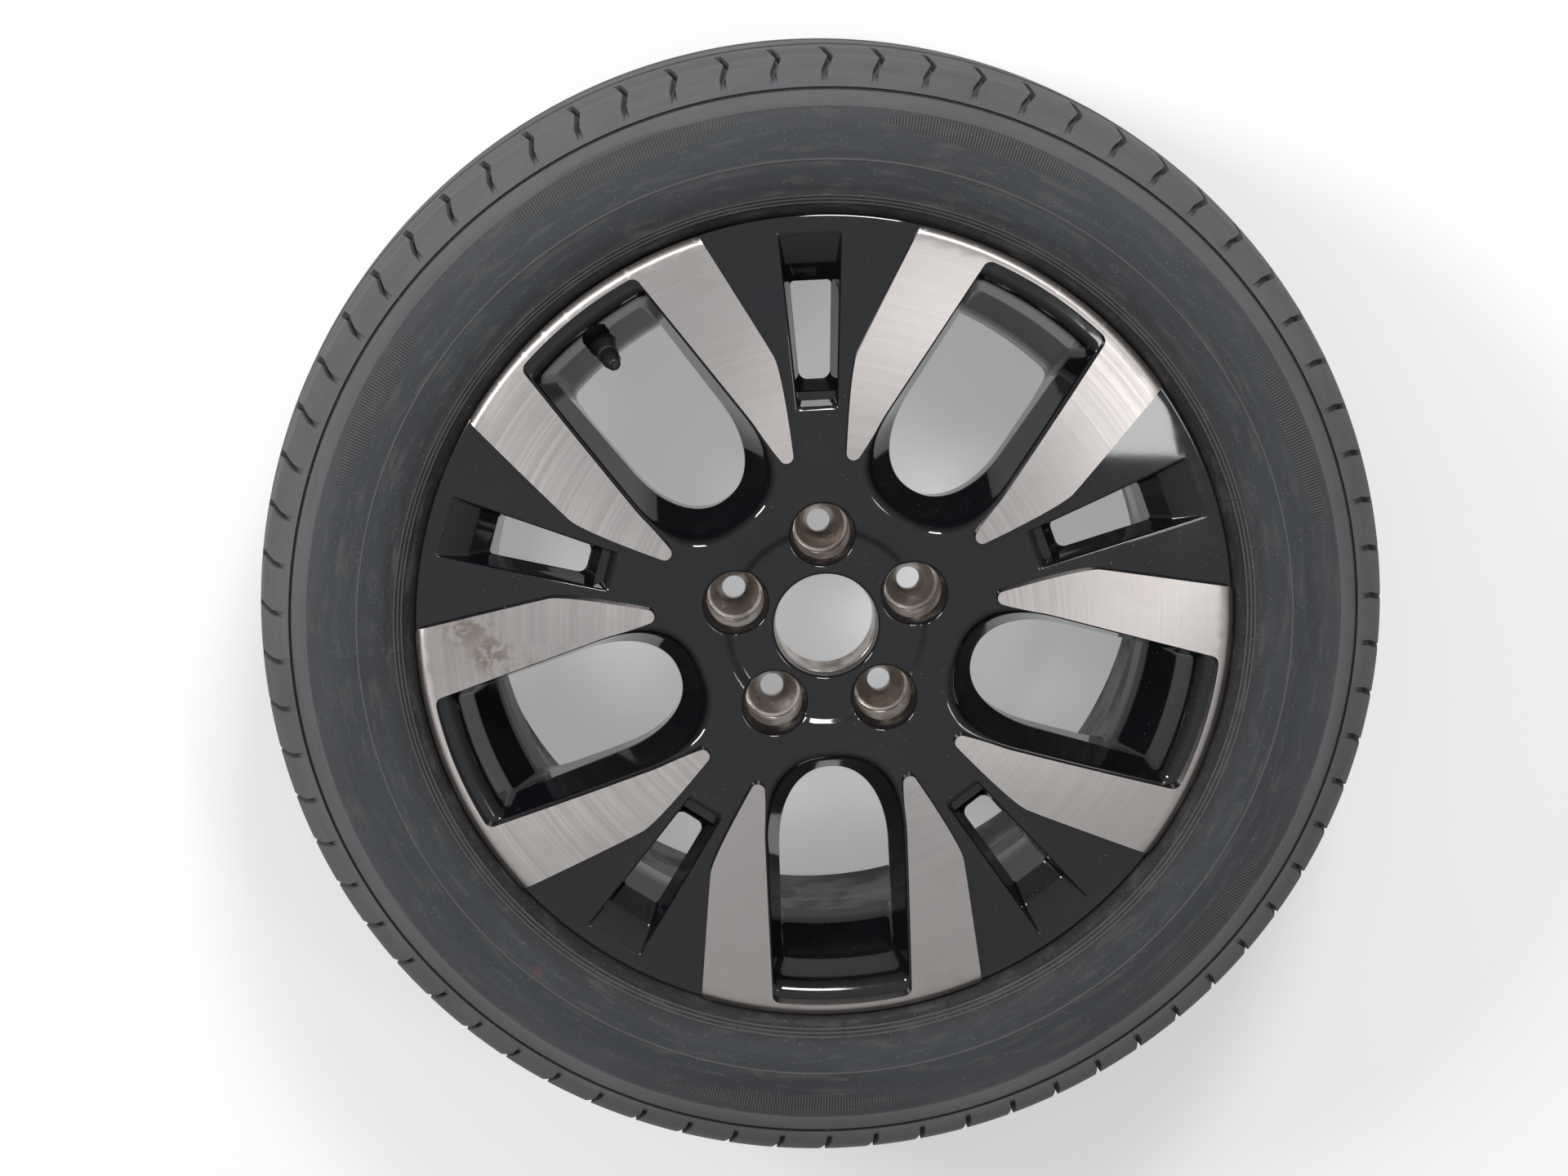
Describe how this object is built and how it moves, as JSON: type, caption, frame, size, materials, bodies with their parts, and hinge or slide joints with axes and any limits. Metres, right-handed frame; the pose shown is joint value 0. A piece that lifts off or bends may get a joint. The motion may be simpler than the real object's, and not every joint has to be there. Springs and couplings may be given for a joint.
{
  "type": "alloy wheel",
  "caption": "Cast road wheel with paired blade spokes, machined front faces, open centre bore, snap-in valve and a mounted radial tyre.",
  "frame": {"origin": "centre of the bolt circle on the flat hub face that lies against the car's hub", "axes": "+Z along the axle out of the car, +Y through the middle of one spoke; the wheel lies on its inboard side"},
  "size_m": [0.6609, 0.661, 0.216],
  "materials": {
    "casting": "gloss black paint with bright machined faces",
    "tyre": "matt",
    "valve_rubber": "matt",
    "valve_brass": "turned",
    "seal_rubber": "matt",
    "cap_plastic": "satin"
  },
  "bodies": {
    "wheel": {"alloy_wheel": "casting", "tyre": "tyre", "valve_body": "valve_rubber", "valve_stem": "valve_brass", "core_body": "valve_brass", "core_seal": "seal_rubber"},
    "cap": {"valve_cap": "cap_plastic", "cap_seal": "seal_rubber"},
    "pin": {"core_pin": "valve_brass"}
  },
  "joints": [
    {"name": "cap_off", "type": "slide", "parent": "wheel", "child": "cap", "axis": [0.2759, -0.3798, 0.8829], "range_m": [0, 0.014]},
    {"name": "pin_push", "type": "slide", "parent": "wheel", "child": "pin", "axis": [-0.2759, 0.3798, -0.8829], "range_m": [0, 0.0012], "stiffness_N_per_m": 800}
  ]
}
